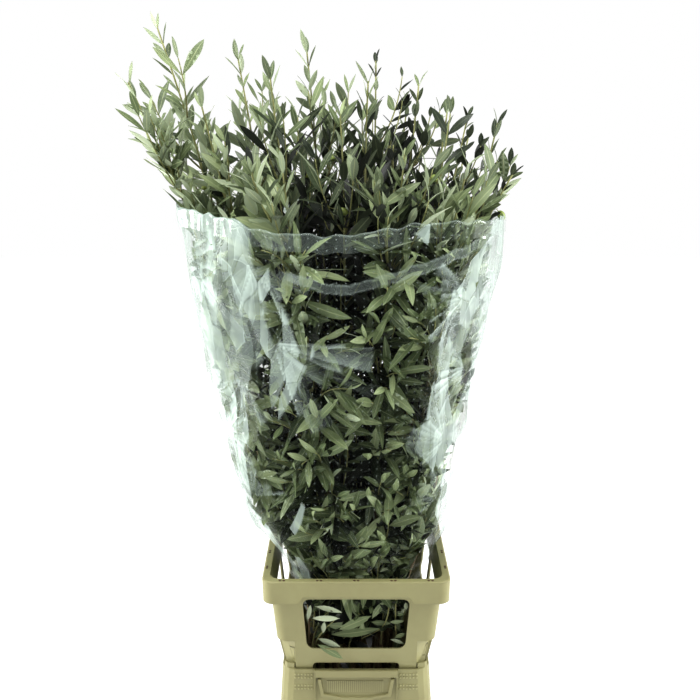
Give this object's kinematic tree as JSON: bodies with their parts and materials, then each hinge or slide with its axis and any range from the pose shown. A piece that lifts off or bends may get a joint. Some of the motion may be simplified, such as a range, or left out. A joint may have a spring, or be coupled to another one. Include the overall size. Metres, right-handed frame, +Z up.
{
  "type": "olive branch bunch in a flower bucket",
  "caption": "Bunch of leafy olive branches with a few green olives, in a clear film sleeve, standing upright in a rectangular plastic flower bucket with a windowed collar.",
  "frame": {"origin": "centre of the bucket's underside, on the floor", "axes": "+Z up along the bunch, +X to the viewer's right, +Y away from the viewer; the bucket's narrow side faces -Y"},
  "size_m": [0.6493, 0.5276, 1.2381],
  "materials": {
    "cream_plastic": "satin moulded cream-beige plastic",
    "clear_film": "clear thin crumpled polypropylene film",
    "olive_foliage": "leathery grey-green leaves with silvery undersides on brown woody stems"
  },
  "bodies": {
    "root": {"bucket": "cream_plastic", "collar": "cream_plastic", "collar_front": "cream_plastic", "sleeve": "clear_film", "olive_branch_01": "olive_foliage", "olive_branch_02": "olive_foliage", "olive_branch_03": "olive_foliage", "olive_branch_04": "olive_foliage", "olive_branch_05": "olive_foliage", "olive_branch_06": "olive_foliage", "olive_branch_07": "olive_foliage", "olive_branch_08": "olive_foliage", "olive_branch_09": "olive_foliage", "olive_branch_10": "olive_foliage", "olive_branch_11": "olive_foliage", "olive_branch_12": "olive_foliage", "olive_branch_13": "olive_foliage", "olive_branch_14": "olive_foliage", "olive_branch_15": "olive_foliage", "olive_branch_16": "olive_foliage", "olive_branch_17": "olive_foliage", "olive_branch_18": "olive_foliage", "olive_branch_19": "olive_foliage", "olive_branch_20": "olive_foliage", "olive_branch_21": "olive_foliage", "olive_branch_22": "olive_foliage"}
  },
  "joints": []
}
